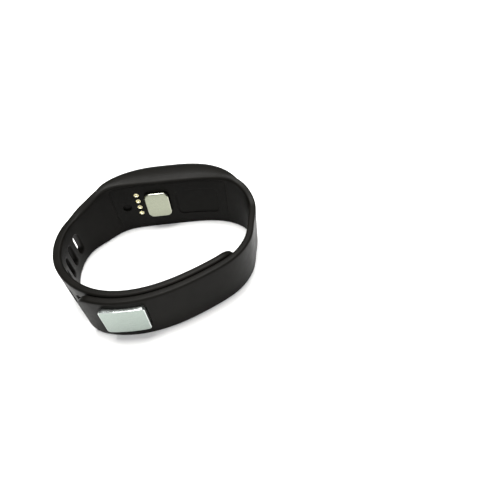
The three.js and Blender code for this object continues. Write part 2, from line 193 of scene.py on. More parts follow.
def flat_on(s0, z0, crown=0.0):
    """A placing function for a flat piece square to the band at s0: x along, z up, offset outward.
    A crown bends it to a curvature of that much, so that its ends follow the band."""
    origin, along, out = plan_frame(np.array(s0))

    def place(x, offset, z):
        x, offset, z = np.broadcast_arrays(x, offset - crown * x ** 2 / 2, z)
        plan = origin + CENTRE_SHIFT + x[..., None] * along + offset[..., None] * out
        return np.concatenate([plan, (z + z0)[..., None]], axis=-1)

    return place


def on_clasp_strap(q, offset, z):
    """Places on the clasp strap: q is -s, and offset starts at the strap's own inner face."""
    lap = LAP_OFFSET * smooth_step((LAP_START_S + q) / LAP_LENGTH)
    return on_band(-q, lap + offset, z)


def clasp_strap_under(x):
    """Places along the clasp strap, as q, where its outer face lies under x of the clasp plate."""
    origin, along, _ = plan_frame(np.array(CLASP_S))
    q = LINE_LENGTH - CLASP_S + np.linspace(9, -9, 37) * MM
    points = on_clasp_strap(q, STRAP_THICKNESS, PLATE_Z)[:, :2] - CENTRE_SHIFT - origin
    return np.interp(x, points @ along, q)


def base_height(s):
    """The band's height at its inner face at s."""
    return band_height(plan_frame(s)[0][..., 1])


def swell(s):
    """How much of the capsule's full depth the band has at s."""
    flatness, fade = CAPSULE_SHAPE
    u = np.minimum(np.abs((s - CAPSULE_MIDDLE) / CAPSULE_HALF_LENGTH), 1)
    return (1 - u ** flatness) ** fade


def band_thickness(s):
    """The offset of the band's outer face at s, which is also its base surface there."""
    rise = smooth_step((s - ROOT_RISE[0]) / ROOT_RISE[1])
    fall = smooth_step((s - ROOT_FALL[0]) / ROOT_FALL[1])
    return STRAP_THICKNESS + CAPSULE_SWELL * swell(s) + ROOT_THICKENING * rise * (1 - fall)


def level_at(offset):
    """A surface that lies at one offset all along the band."""
    return lambda s: 0 * s + offset


WRIST_FACE = level_at(0)
COVER_BACK = level_at(COVER_THICKNESS)


# ---- Meshes made of lattices and loops of quads ----

WELD_DISTANCE = 0.002 * MM


class Skin:
    """Quads gathered patch by patch, then welded into one closed mesh."""

    def __init__(self):
        self.points = []
        self.faces = []
        self.count = 0

    def grid(self, points, closed=False, skip=()):
        """Quads between rows of points. A block to skip is (first row, last row, first column,
        last column), and closed joins each row's end to its start."""
        rows, columns = points.shape[:2]
        index = self.count + np.arange(rows * columns).reshape(rows, columns)
        if closed:
            index = np.hstack([index, index[:, :1]])
        for i in range(rows - 1):
            for j in range(index.shape[1] - 1):
                if any(a <= i < b and c <= j < d for a, b, c, d in skip):
                    continue
                corners = (index[i, j], index[i, j + 1], index[i + 1, j + 1], index[i + 1, j])
                self.faces.append([int(corner) for corner in corners])
        self.points.append(points.reshape(-1, 3))
        self.count += rows * columns

    def sheet(self, place, lattice, level, skip=()):
        """A lattice of (s, z) points laid on a level, without the skipped blocks."""
        self.grid(place(lattice[..., 0], level(lattice[..., 0]), lattice[..., 1]), skip=skip)

    def tube(self, place, loops):
        """Closed loops of (s, offset, z) points joined in order."""
        self.grid(np.stack([place(*loop.T) for loop in loops]), closed=True)

    def build(self, name, material, sharp_angle=38):
        """Welds the patches into an object. Ends that butt against another strap are filled."""
        mesh = bpy.data.meshes.new(name)
        mesh.from_pydata(np.concatenate(self.points).tolist(), [], self.faces)
        welded = bmesh.new()
        welded.from_mesh(mesh)
        bmesh.ops.remove_doubles(welded, verts=welded.verts, dist=WELD_DISTANCE)
        loose = [v for v in welded.verts if not v.link_faces]
        bmesh.ops.delete(welded, geom=loose, context="VERTS")
        open_edges = [e for e in welded.edges if len(e.link_faces) == 1]
        bmesh.ops.holes_fill(welded, edges=open_edges, sides=0)
        bmesh.ops.recalc_face_normals(welded, faces=welded.faces)
        welded.to_mesh(mesh)
        welded.free()
        mesh.shade_smooth()
        mesh.set_sharp_from_angle(angle=math.radians(sharp_angle))
        mesh.materials.append(material)
        piece = bpy.data.objects.new(name, mesh)
        bpy.context.scene.collection.objects.link(piece)
        return piece


def rounded_loop(low, high, radius, counts, corner=3):
    """A rounded rectangle's points and outward normals, anticlockwise from the middle of its
    lower left corner. counts are the segments of a long and an upright side, corners included."""
    points, normals = [], []
    (x0, z0), (x1, z1) = low, high
    centres = [(x0 + radius, z0 + radius), (x1 - radius, z0 + radius),
               (x1 - radius, z1 - radius), (x0 + radius, z1 - radius)]
    for side in range(4):
        count = counts[side % 2]
        here, there = np.array(centres[side]), np.array(centres[(side + 1) % 4])
        start = math.radians(225 + 90 * side)
        angles = start + np.linspace(0, math.pi / 4, corner + 1)
        for angle in angles:
            normal = np.array([math.cos(angle), math.sin(angle)])
            points.append(here + radius * normal)
            normals.append(normal)
        straight = count - 2 * corner
        side_normal = normals[-1]
        for k in range(1, straight):
            points.append(here + (there - here) * k / straight + radius * side_normal)
            normals.append(side_normal)
        first = 1 if straight == 0 else 0
        for angle in (angles + math.pi / 4)[first:-1]:
            normal = np.array([math.cos(angle), math.sin(angle)])
            points.append(there + radius * normal)
            normals.append(normal)
    return np.array(points), np.array(normals)


def centred(middle, z, size, margin=0.0):
    """The lower left and upper right corner of a rectangle about a middle, wider by a margin."""
    half = (size[0] / 2 + margin, size[1] / 2 + margin)
    return (middle - half[0], z - half[1]), (middle + half[0], z + half[1])


def quarter(start, end, steps=4, grow_first=False):
    """A quarter ellipse between two (grow, level) pairs, without its first point."""
    path = []
    for k in range(1, steps + 1):
        angle = math.pi / 2 * k / steps
        first, last = math.sin(angle), 1 - math.cos(angle)
        a, b = (first, last) if grow_first else (last, first)
        path.append((start[0] + (end[0] - start[0]) * a, start[1] + (end[1] - start[1]) * b))
    return path


def loops_of(outline, path, base=WRIST_FACE):
    """The outline grown, and lifted off a base surface, along a path of (grow, level) pairs."""
    points, normals = outline
    loops = []
    for grow, level in path:
        grown = points + normals * grow
        loops.append(np.stack([grown[:, 0], base(grown[:, 0]) + level, grown[:, 1]], axis=-1))
    return loops


def rings(outer, inner, level, count):
    """Loops that lead from one loop of (s, z) points to another on a level."""
    loops = []
    for share in np.linspace(0, 1, count + 1):
        points = outer + (inner - outer) * share
        loops.append(np.stack([points[:, 0], level(points[:, 0]), points[:, 1]], axis=-1))
    return loops


def filled(loop, counts):
    """The inside of a loop of (s, z) points as a lattice blended from its four sides."""
    a, b = counts
    bottom, right = loop[:a + 1], loop[a:a + b + 1]
    top = loop[a + b:2 * a + b + 1][::-1]
    left = np.concatenate([loop[2 * a + b:], loop[:1]])[::-1]
    u = np.linspace(0, 1, a + 1)[:, None, None]
    v = np.linspace(0, 1, b + 1)[None, :, None]
    sides = (1 - v) * bottom[:, None] + v * top[:, None] + (1 - u) * left[None] + u * right[None]
    corners = ((1 - u) * (1 - v) * bottom[0] + u * (1 - v) * bottom[-1]
               + (1 - u) * v * top[0] + u * v * top[-1])
    return sides - corners


def cap(skin, place, loop, counts):
    """Closes a tube's last loop, which lies at one level."""
    lattice = filled(loop[:, [0, 2]], counts)
    skin.sheet(place, lattice, level_at(loop[0, 1]))


def stack(name, place, outline, counts, path, material, sharp_angle=38):
    """A solid with one outline, which grows and shrinks along a path of (grow, level) pairs."""
    skin = Skin()
    loops = loops_of(outline, path)
    skin.tube(place, loops)
    cap(skin, place, loops[0], counts)
    cap(skin, place, loops[-1], counts)
    return skin.build(name, material, sharp_angle)


def block_counts(block):
    """How many steps a block of a lattice takes along the band and up it."""
    return block[1] - block[0], block[3] - block[2]


def block_edge(lattice, block):
    """The lattice points round a block, anticlockwise, as rounded_loop goes."""
    i0, i1, j0, j1 = block
    return np.concatenate([
        lattice[i0:i1, j0], lattice[i1, j0:j1], lattice[i1:i0:-1, j1], lattice[i0, j1:j0:-1],
    ])


# ---- Materials ----

NOISE_RANGE = (0.3, 0.7)                # where nearly all of a noise texture's values lie
BUMP_STRENGTH = 0.5
BRUSH_LINE = 0.09 * MM                  # the width of a brushed line
BRUSH_SHADE = 0.86                      # how bright the darker lines are
RUBBER_GLOSS = {"IOR": 1.43, "Specular_IOR_Level": 0.07}


class Finish:
    """A procedural material under construction."""

    def __init__(self, name, colour, roughness, metallic=0.0, **constants):
        self.material = bpy.data.materials.new(name)
        self.material.use_nodes = True
        self.tree = self.material.node_tree
        self.shader = next(n for n in self.tree.nodes if n.type == "BSDF_PRINCIPLED")
        self.shader.inputs["Base Color"].default_value = (*colour, 1)
        self.shader.inputs["Roughness"].default_value = roughness
        self.shader.inputs["Metallic"].default_value = metallic
        for socket, value in constants.items():
            self.shader.inputs[socket.replace("_", " ")].default_value = value
        self.coordinates = self.tree.nodes.new("ShaderNodeTexCoord").outputs["Object"]

    def link(self, output, node_input):
        self.tree.links.new(output, node_input)

    def noise(self, size, stretch=(1, 1, 1), turn=0.0, detail=3.0):
        """Noise with features of a size in metres, drawn out along the object's axes."""
        mapping = self.tree.nodes.new("ShaderNodeMapping")
        mapping.inputs["Rotation"].default_value = (0, 0, turn)
        mapping.inputs["Scale"].default_value = [1 / (size * share) for share in stretch]
        self.link(self.coordinates, mapping.inputs["Vector"])
        texture = self.tree.nodes.new("ShaderNodeTexNoise")
        texture.inputs["Scale"].default_value = 1.0
        texture.inputs["Detail"].default_value = detail
        self.link(mapping.outputs["Vector"], texture.inputs["Vector"])
        return texture.outputs["Fac"]

    def spread(self, value, low, high):
        """A noise value spread between two numbers."""
        node = self.tree.nodes.new("ShaderNodeMapRange")
        start, end = NOISE_RANGE
        limits = {"From Min": start, "From Max": end, "To Min": low, "To Max": high}
        for socket, number in limits.items():
            node.inputs[socket].default_value = number
        self.link(value, node.inputs["Value"])
        return node.outputs["Result"]

    def colours(self, value, low, high):
        """Base colours spread over a noise value."""
        ramp = self.tree.nodes.new("ShaderNodeValToRGB")
        for element, position, colour in zip(ramp.color_ramp.elements, NOISE_RANGE, (low, high)):
            element.position = position
            element.color = (*colour, 1)
        self.link(value, ramp.inputs["Fac"])
        self.link(ramp.outputs["Color"], self.shader.inputs["Base Color"])

    def roughness(self, value, low, high):
        self.link(self.spread(value, low, high), self.shader.inputs["Roughness"])

    def bump(self, value, height):
        node = self.tree.nodes.new("ShaderNodeBump")
        node.inputs["Strength"].default_value = BUMP_STRENGTH
        node.inputs["Distance"].default_value = height
        self.link(value, node.inputs["Height"])
        self.link(node.outputs["Normal"], self.shader.inputs["Normal"])


def silicone():
    finish = Finish("silicone_matte_black", (0.008, 0.0077, 0.007), 0.5, **RUBBER_GLOSS)
    finish.colours(finish.noise(9 * MM), (0.0044, 0.0041, 0.0034), (0.0062, 0.0057, 0.0047))
    finish.roughness(finish.noise(2.5 * MM), 0.36, 0.44)
    finish.bump(finish.noise(0.22 * MM, detail=2), 0.004 * MM)
    return finish.material


def brushed_steel(name, colour, streak, roughness, turn):
    """Metal with fine lines of a given length, turned about the vertical to run along its face."""
    finish = Finish(name, colour, roughness, 1.0)
    lines = finish.noise(BRUSH_LINE, stretch=(streak / BRUSH_LINE, 1, 1), turn=turn, detail=2)
    darker = tuple(BRUSH_SHADE * c for c in colour)
    finish.colours(lines, darker, colour)
    finish.roughness(lines, roughness - 0.05, roughness + 0.08)
    finish.bump(lines, 0.002 * MM)
    return finish.material


def plain_finish(name, colour, roughness, metallic=0.0, grain=0.3 * MM, height=0.003 * MM, vary=0.12,
                 **constants):
    """Moulded, plated or coated stuff: a little colour and gloss variation and a fine grain."""
    finish = Finish(name, colour, roughness, metallic, **constants)
    low = tuple(c * (1 - vary) for c in colour)
    high = tuple(min(c * (1 + vary), 1) for c in colour)
    finish.colours(finish.noise(12 * grain), low, high)
    finish.roughness(finish.noise(6 * grain), roughness * 0.9, min(roughness * 1.15, 1))
    finish.bump(finish.noise(grain), height)
    return finish.material


def floor_finish():
    finish = Finish("floor_pale", (0.9, 0.9, 0.9), 0.9)
    finish.colours(finish.noise(60 * MM), (0.885, 0.887, 0.885), (0.905, 0.905, 0.903))
    return finish.material


SILICONE = silicone()
CLASP_TURN = -math.atan2(*plan_frame(np.array(CLASP_S))[1][::-1])
# The clasp steel's greenish tint, in its face and rim colours, is a painted reflection of a greenish
# table. The grey steel under it is its own colour.
CLASP_STEEL_WITH_PAINTED_REFLECTION = brushed_steel("clasp_steel_brushed_painted_reflection", (0.3, 0.345, 0.315), 3 * MM, 0.3, CLASP_TURN)
PAD_STEEL = brushed_steel("pad_steel_brushed", (0.29, 0.305, 0.235), 2 * MM, 0.3, 0.0)
# The polished rims are glossier than the brushed faces, which is real. Their colours are about twice
# as bright, which is a painted highlight along the rims.
CLASP_RIM_PAINTED_HIGHLIGHT = brushed_steel("clasp_steel_polished_painted_highlight", (0.62, 0.66, 0.64), 3 * MM, 0.2, CLASP_TURN)
PAD_RIM_PAINTED_HIGHLIGHT = brushed_steel("pad_steel_polished_painted_highlight", (0.47, 0.48, 0.39), 2 * MM, 0.16, 0.0)
GOLD = plain_finish("gold_plate", (0.93, 0.86, 0.6), 0.25, 1.0, grain=0.08 * MM, height=0.001 * MM)
HARD_BLACK = plain_finish("hard_black_satin", (0.0056, 0.0053, 0.0046), 0.46, grain=0.15 * MM,
                          height=0.003 * MM, **RUBBER_GLOSS)
SMOKED_GLASS = plain_finish("smoked_glass", (0.004, 0.004, 0.005), 0.06, grain=2 * MM,
                            height=0.001 * MM, Specular_IOR_Level=0.25)


# ---- The silicone ----

def edge_path(inner_edge, outer_edge, thickness):
    """How far each point of the rounded edge lies inside the outline, and its offset."""
    angles = np.linspace(0, math.pi / 2, EDGE_STEPS + 1)
    inner_deep, inner_high = inner_edge
    outer_deep, outer_high = outer_edge
    insets = [inner_high * (1 - math.sin(a)) for a in angles]
    insets += [outer_high * (1 - math.cos(a)) for a in angles]
    offsets = [inner_deep * (1 - math.cos(a)) for a in angles]
    offsets += [thickness - outer_deep * (1 - math.sin(a)) for a in angles]
    return np.stack(insets), np.stack(offsets)


def even_edge(thickness):
    """The path of a plain strap's edge, for a thickness at each point of its outline."""
    rounding = np.full(len(thickness), STRAP_EDGE)
    return edge_path([rounding, rounding], [rounding, rounding], thickness)


def rim(skin, place, points, normals, insets, offsets):
    """The rounded edge between the two faces, along an outline of (s, z) points."""
    rows = []
    for inset, offset in zip(insets, offsets):
        at = points - normals * inset[:, None]
        rows.append(place(at[:, 0], offset, at[:, 1]))
    skin.grid(np.stack(rows))


def band_sleeve():
    """The silicone round the capsule: hollow, open to the wrist and round the display."""
    block_start, block_end = -24.7 * MM, 17.8 * MM      # these hold the opening and the window
    before, along, after, up = 5, 44, 10, 8
    s = np.concatenate([
        np.linspace(SLEEVE_ENDS[0], block_start, before + 1)[:-1],
        np.linspace(block_start, block_end, along + 1),
        np.linspace(block_end, SLEEVE_ENDS[1], after + 1)[1:],
    ])
    block = (before, before + along, 0, up)
    share = swell(s)

    def swollen(edges):
        return [STRAP_EDGE + (edge - STRAP_EDGE) * share for edge in edges]

    inner_top, inner_low = swollen(CAPSULE_INNER_TOP_EDGE), swollen(CAPSULE_INNER_LOW_EDGE)
    outer_edge = swollen(CAPSULE_OUTER_EDGE)
    height = base_height(s)
    fractions = np.linspace(0, 1, up + 1)

    skin = Skin()
    edges = {}
    for side, low, high, level in (("inner", inner_low[1], inner_top[1], WRIST_FACE),
                                   ("outer", outer_edge[1], outer_edge[1], band_thickness)):
        bottom = np.stack([s, low], axis=-1)
        top = np.stack([s, height - high], axis=-1)
        lattice = bottom[:, None] + (top - bottom)[:, None] * fractions[None, :, None]
        skin.sheet(on_band, lattice, level, skip=[block])
        edges[side] = block_edge(lattice, block)
    ones = np.ones_like(s)
    for z, side, inner_edge in ((0 * s, -ones, inner_low), (height, ones, inner_top)):
        rim(skin, on_band, np.stack([s, z], axis=-1), np.stack([0 * s, side], axis=-1),
            *edge_path(inner_edge, outer_edge, band_thickness(s)))

    def ceiling(x):
        return band_thickness(x) - SLEEVE_WALL

    lip = 0.1 * MM
    opening = rounded_loop(*OPENING, OPENING_RADIUS, (along, up))
    window = rounded_loop(*WINDOW, WINDOW_RADIUS, (along, up))
    wall_top = loops_of(opening, [(0, 0)], ceiling)[0]
    wall_foot = loops_of(opening, [(0, lip)])[0]
    wall_shares = (0.33, 0.67)
    loops = rings(edges["inner"], opening[0] + opening[1] * lip, WRIST_FACE, 2)
    loops += loops_of(opening, quarter((lip, 0), (0, lip), 3, grow_first=True))
    loops += [wall_foot + (wall_top - wall_foot) * wall_share for wall_share in wall_shares]
    loops += rings(opening[0], window[0], ceiling, 4)
    loops += loops_of(window, [(0, -lip)], band_thickness)
    loops += loops_of(window, quarter((0, -lip), (lip, 0), 3), band_thickness)
    loops += rings(window[0] + window[1] * lip, edges["outer"], band_thickness, 8)[1:]
    skin.tube(on_band, loops)
    return skin.build("sleeve_skin", SILICONE)


def strap_lattice(s, tip, tip_radius, inset, rows, direction):
    """The outline of a strap with a rounded tip, and the lattice of (s, z) points inside it."""
    arc = np.linspace(0, math.pi / 2, TIP_STEPS + 1)[1:]
    straight = np.zeros(len(s))
    s = np.concatenate([s, tip - tip_radius + tip_radius * np.sin(arc)])
    cut = np.concatenate([straight, tip_radius * (1 - np.cos(arc))])
    lean = np.concatenate([straight, arc])
    height = base_height(direction * s)
    bottom = np.stack([s, cut], axis=-1)
    top = np.stack([s, height - cut], axis=-1)
    bottom_normals = np.stack([np.sin(lean), -np.cos(lean)], axis=-1)
    top_normals = np.stack([np.sin(lean), np.cos(lean)], axis=-1)
    low, high = bottom - bottom_normals * inset, top - top_normals * inset
    lattice = low[:, None] + (high - low)[:, None] * rows[None, :, None]
    end = lattice[-1, 1:-1] + [inset, 0]
    outline = np.concatenate([bottom, end, top[::-1]])
    end_normals = np.tile([1.0, 0.0], (len(end), 1))
    normals = np.concatenate([bottom_normals, end_normals, top_normals[::-1]])
    return outline, normals, lattice


def row_shares(heights):
    """Where rows at these heights, in millimetres on a plain strap, lie between its rounded edges."""
    return (np.array(heights) * MM - STRAP_EDGE) / (STRAP_HEIGHT - 2 * STRAP_EDGE)


def hole_strap():
    """The inner strap with its row of slots and its free end."""
    before, cell, after, up = 10, 6, 8, 8
    first = FIRST_SLOT_S - SLOT_PITCH / 2
    last = first + SLOT_COUNT * SLOT_PITCH
    s = np.concatenate([
        np.linspace(SLEEVE_ENDS[1], first, before + 1)[:-1],
        np.linspace(first, last, SLOT_COUNT * cell + 1),
        np.linspace(last, TAIL_TIP[0] - TAIL_TIP[1], after + 1)[1:],
    ])
    slot_rows = np.linspace(2.9, 12.7, up + 1)
    rows = row_shares([0.65, 1.7, *slot_rows, 13.9, 14.95])
    outline, normals, lattice = strap_lattice(s, *TAIL_TIP, STRAP_EDGE, rows, 1)
    blocks = [(before + k * cell, before + (k + 1) * cell, 2, 2 + up) for k in range(SLOT_COUNT)]

    skin = Skin()
    skin.sheet(on_band, lattice, WRIST_FACE, skip=blocks)
    skin.sheet(on_band, lattice, band_thickness, skip=blocks)
    rim(skin, on_band, outline, normals, *even_edge(band_thickness(outline[:, 0])))
    lip = 0.3 * MM
    for k, block in enumerate(blocks):
        slot = rounded_loop(*centred(FIRST_SLOT_S + k * SLOT_PITCH, SLOT_Z, SLOT_SIZE),
                            SLOT_SIZE[0] / 2, (cell, up))
        edge = block_edge(lattice, block)
        loops = rings(edge, slot[0] + slot[1] * lip, WRIST_FACE, 2)
        loops += loops_of(slot, quarter((lip, 0), (0, lip), 3, grow_first=True))
        loops += loops_of(slot, [(0, -lip)], band_thickness)
        loops += loops_of(slot, quarter((0, -lip), (lip, 0), 3), band_thickness)
        loops += rings(slot[0] + slot[1] * lip, edge, band_thickness, 2)[1:]
        skin.tube(on_band, loops)
    return skin.build("hole_strap_skin", SILICONE)


def clasp_strap():
    """The outer strap, with the recess for the clasp plate near its rounded end."""
    before, along, after, up = 62, 16, 2, 8
    middle = LINE_LENGTH - CLASP_S
    tip = LINE_LENGTH - CLASP_END[0]
    block_start, block_end = middle - 7.2 * MM, middle + 7.6 * MM      # these hold the recess
    q = np.concatenate([
        np.linspace(-SLEEVE_ENDS[0], block_start, before + 1)[:-1],
        np.linspace(block_start, block_end, along + 1),
        np.linspace(block_end, tip - CLASP_END[1], after + 1)[1:],
    ])
    recess_rows = np.linspace(2.4, 14.3, up + 1)
    rows = row_shares([0.65, 1.5, *recess_rows, 14.95])
    outline, normals, lattice = strap_lattice(q, tip, CLASP_END[1], STRAP_EDGE, rows, -1)
    block = (before, before + along, 2, 2 + up)

    def outer_face(q):
        return band_thickness(-q)

    skin = Skin()
    skin.sheet(on_clasp_strap, lattice, WRIST_FACE)
    skin.sheet(on_clasp_strap, lattice, outer_face, skip=[block])
    rim(skin, on_clasp_strap, outline, normals, *even_edge(outer_face(outline[:, 0])))
    lip = 0.1 * MM
    # The strap's q runs against the plate's x.
    (left, foot), (right, head) = centred(PLATE_SHIFT, PLATE_Z, PLATE_SIZE, RECESS_GAP)
    start, end = clasp_strap_under(np.array([right, left]))
    recess = rounded_loop((start, foot), (end, head), PLATE_RADIUS + RECESS_GAP, (along, up))
    top, floor = STRAP_THICKNESS, STRAP_THICKNESS - RECESS_DEPTH
    loops = rings(block_edge(lattice, block), recess[0] + recess[1] * lip, outer_face, 2)
    loops += loops_of(recess, quarter((lip, top), (0, top - lip), 3, grow_first=True))
    loops += loops_of(recess, [(0, floor)])
    skin.tube(on_clasp_strap, loops)
    cap(skin, on_clasp_strap, loops[-1], (along, up))
    return skin.build("clasp_strap_skin", SILICONE)


# ---- The clasp ----

def polish_rim_with_painted_highlight(piece, s0, material):
    """Gives a metal plate square to the band at s0 a polished rim round its brushed face. The rim's
    brighter colour is a painted highlight.
    """
    piece.data.materials.append(material)
    _, _, out = plan_frame(np.array(s0))
    for polygon in piece.data.polygons:
        facing = abs(polygon.normal.x * out[0] + polygon.normal.y * out[1])
        polygon.material_index = 0 if facing > FACE_COSINE else 1
    return piece


def clasp_plate():
    """The metal plate over the clasp, slightly crowned, with a bevel round its face."""
    counts = (18, 14)
    outline = rounded_loop(*centred(PLATE_SHIFT, 0, PLATE_SIZE), PLATE_RADIUS, counts)
    bevel, back_edge = 0.18 * MM, 0.2 * MM
    foot = (-back_edge, PLATE_BACK)
    shoulder = (0, PLATE_TOP - bevel)
    path = [foot, *quarter(foot, (0, PLATE_BACK + back_edge), 3, grow_first=True), shoulder,
            *quarter(shoulder, (-bevel, PLATE_TOP)), (-2 * bevel, PLATE_TOP)]
    place = flat_on(CLASP_S, PLATE_Z, PLATE_CROWN)
    plate = stack("clasp_plate_brushed", place, outline, counts, path, CLASP_STEEL_WITH_PAINTED_REFLECTION)
    return polish_rim_with_painted_highlight(plate, CLASP_S, CLASP_RIM_PAINTED_HIGHLIGHT)


def clasp_peg(number, side):
    """An oval mushroom peg, its head on the wrist side and its shank let into the plate's back."""
    counts = (8, 12)
    radius = PEG_SIZE[0] / 2 - 0.02 * MM
    outline = rounded_loop(*centred(side * SLOT_PITCH / 2, 0, PEG_SIZE), radius, counts, corner=4)
    tip = (-0.6 * MM, -1.1 * MM)
    head_side, head_brim = (0, -0.65 * MM), (0, -0.6 * MM)
    neck, head_top = -0.25 * MM, -0.3 * MM
    path = [tip, *quarter(tip, head_side, 5, grow_first=True), *quarter(head_brim, (neck, head_top)),
            (neck, 0), (neck, PLATE_BACK)]
    place = flat_on(CLASP_S, SLOT_Z)
    return stack(f"clasp_peg_oval_{number}", place, outline, counts, path, CLASP_STEEL_WITH_PAINTED_REFLECTION)


# ---- The wrist side of the capsule ----

# The cover's mesh lines along the band and up it: a name, its place in millimetres, and the
# number of steps from the line before it. Each feature is cut into the block between its lines.
COVER_LINES = [
    ("left", -23.25, 0), ("panel_left", -21, 3), ("panel_right", -4.2, 16), ("pad_left", -3.5, 1),
    ("pad_right", 6.5, 10), ("contacts_left", 6.9, 1), ("contacts_right", 9.5, 6),
    ("hole_left", 10.4, 1), ("hole_right", 14.4, 6), ("right", 16.45, 3),
]
COVER_ROWS = [
    ("foot", 1.83, 0), ("pad_foot", 4.4, 3), ("contacts_foot", 5.6, 1), ("contacts_head", 16, 16),
    ("pad_head", 17, 1), ("head", 18.57, 2),
]


def marked_lines(marks):
    """Places in metres for all the lines, and the index of each named one."""
    places, index = [marks[0][1]], {marks[0][0]: 0}
    for (_, before, _), (name, mark, steps) in zip(marks, marks[1:]):
        places += list(np.linspace(before, mark, steps + 1)[1:])
        index[name] = len(places) - 1
    return MM * np.array(places), index


def back_cover():
    """The hard cover, with the pad's pocket, four contact bores, the locating hole and a panel."""
    s, column = marked_lines(COVER_LINES)
    z, row = marked_lines(COVER_ROWS)
    lattice = np.stack(np.meshgrid(s, z, indexing="ij"), axis=-1)
    skin = Skin()
    front_blocks, back_blocks = [], []
    lip = 0.06 * MM

    def cut(block, outline, floor, through=None, end_rings=3):
        """Cuts a feature from the front: blind at its floor, or through by an outline there."""
        edge = block_edge(lattice, block)
        loops = rings(edge, outline[0] + outline[1] * lip, WRIST_FACE, 2)
        loops += loops_of(outline, quarter((lip, 0), (0, lip), 3, grow_first=True))
        loops += loops_of(outline, [(0, floor)])
        front_blocks.append(block)
        if through is None:
            skin.tube(on_band, loops)
            cap(skin, on_band, loops[-1], block_counts(block))
            return
        loops += rings(outline[0], through[0], level_at(floor), end_rings)[1:]
        loops += rings(through[0], edge, COVER_BACK, 2)
        back_blocks.append(block)
        skin.tube(on_band, loops)

    block = (column["pad_left"], column["pad_right"], row["pad_foot"], row["pad_head"])
    pocket = rounded_loop(*centred(PAD_S, PAD_Z, PAD_SIZE, FINE_GAP), PAD_RADIUS + FINE_GAP,
                          block_counts(block))
    pin = rounded_loop(*centred(PAD_S, PAD_Z, PIN_BORE), PIN_BORE_RADIUS, block_counts(block))
    cut(block, pocket, PAD_SEAT, through=pin)
    for index in range(CONTACT_COUNT):
        low = row["contacts_foot"] + CONTACT_ROWS * index
        block = (column["contacts_left"], column["contacts_right"], low, low + CONTACT_ROWS)
        bore = rounded_loop(*centred(CONTACT_S, contact_z(index), CONTACT_BORE), CONTACT_BORE[0] / 2,
                            block_counts(block), corner=2)
        cut(block, bore, COVER_THICKNESS, through=bore, end_rings=1)
    low = row["contacts_foot"] + CONTACT_ROWS
    block = (column["hole_left"], column["hole_right"], low, low + 2 * CONTACT_ROWS)
    hole = rounded_loop(*centred(*HOLE_PLACE, HOLE_SIZE), HOLE_SIZE[0] / 2 - 0.01 * MM,
                        block_counts(block))
    cut(block, hole, COVER_THICKNESS - HOLE_FLOOR)
    block = (column["panel_left"], column["panel_right"], row["pad_foot"], row["contacts_head"])
    panel = rounded_loop(*PANEL, PANEL_RADIUS, block_counts(block))
    cut(block, panel, PANEL_DEPTH)
    skin.sheet(on_band, lattice, WRIST_FACE, skip=front_blocks)
    skin.sheet(on_band, lattice, COVER_BACK, skip=back_blocks)
    edge = block_edge(lattice, (0, len(s) - 1, 0, len(z) - 1))
    low, high = edge.min(axis=0), edge.max(axis=0)
    outward = (edge >= high).astype(float) - (edge <= low)
    skin.tube(on_band, loops_of((edge, outward), [
        (0, 0), *quarter((0, 0), (lip, lip), 3, True), (lip, COVER_THICKNESS), (0, COVER_THICKNESS),
    ]))
    return skin.build("back_cover_shell", HARD_BLACK)


def contact_z(index):
    return CONTACT_MIDDLE_Z + (index - (CONTACT_COUNT - 1) / 2) * CONTACT_PITCH


def electrode_pad():
    """The metal pad that stands proud of the cover, with a soft bevel round its face."""
    counts = (16, 18)
    outline = rounded_loop(*centred(0, 0, PAD_SIZE), PAD_RADIUS, counts, corner=5)
    bevel, back_edge = 0.42 * MM, 0.1 * MM
    face = -PAD_PROUD
    shoulder = (0, face + bevel)
    path = [(-back_edge, PAD_SEAT), (0, PAD_SEAT - back_edge), shoulder,
            *quarter(shoulder, (-bevel, face), 5), (-bevel - 0.1 * MM, face)]
    pad = stack("electrode_pad_brushed", flat_on(PAD_S, PAD_Z), outline, counts, path, PAD_STEEL,
                sharp_angle=60)
    return polish_rim_with_painted_highlight(pad, PAD_S, PAD_RIM_PAINTED_HIGHLIGHT)


def charge_contact(index):
    """A gold contact: a dished ring round a domed centre."""
    counts = (8, 8)
    radius = CONTACT_SIZE[0] / 2 - 0.005 * MM
    outline = rounded_loop(*centred(0, 0, CONTACT_SIZE), radius, counts, corner=4)
    tail = [(-0.4 * MM, 2.2 * MM), (-0.4 * MM, 0.5 * MM), (0, 0.45 * MM)]
    brim = (0, 0.2 * MM)
    groove = [(-0.12 * MM, 0.14 * MM), (-0.2 * MM, 0.3 * MM), (-0.24 * MM, 0.3 * MM)]
    dome_foot, dome_top = (-0.26 * MM, 0.02 * MM), (-0.6 * MM, -0.24 * MM)
    path = [*tail, brim, *quarter(brim, (-0.06 * MM, 0.14 * MM), 3), *groove,
            dome_foot, *quarter(dome_foot, dome_top, 5)]
    place = flat_on(CONTACT_S, contact_z(index))
    return stack(f"charge_contact_gold_{index + 1}", place, outline, counts, path, GOLD)


def display_window():
    """The smoked window, flush with the sleeve and rounded at its edge."""
    along, up = 44, 12
    low = (WINDOW[0][0] + FINE_GAP, WINDOW[0][1] + FINE_GAP)
    high = (WINDOW[1][0] - FINE_GAP, WINDOW[1][1] - FINE_GAP)
    outline = rounded_loop(low, high, WINDOW_RADIUS - 0.1 * MM, (along, up))
    edge, back_edge, back = 0.25 * MM, 0.1 * MM, -1.3 * MM
    path = [(-back_edge, back), (0, back + back_edge), (0, -edge), *quarter((0, -edge), (-edge, 0))]

    def back_face(s):
        return band_thickness(s) + back

    skin = Skin()
    loops = loops_of(outline, path, band_thickness)
    skin.tube(on_band, loops)
    for loop, face in ((loops[0], back_face), (loops[-1], band_thickness)):
        skin.sheet(on_band, filled(loop[:, [0, 2]], (along, up)), face)
    return skin.build("display_window", SMOKED_GLASS)


# ---- Putting the pieces on their bodies; the two straps stay on none ----

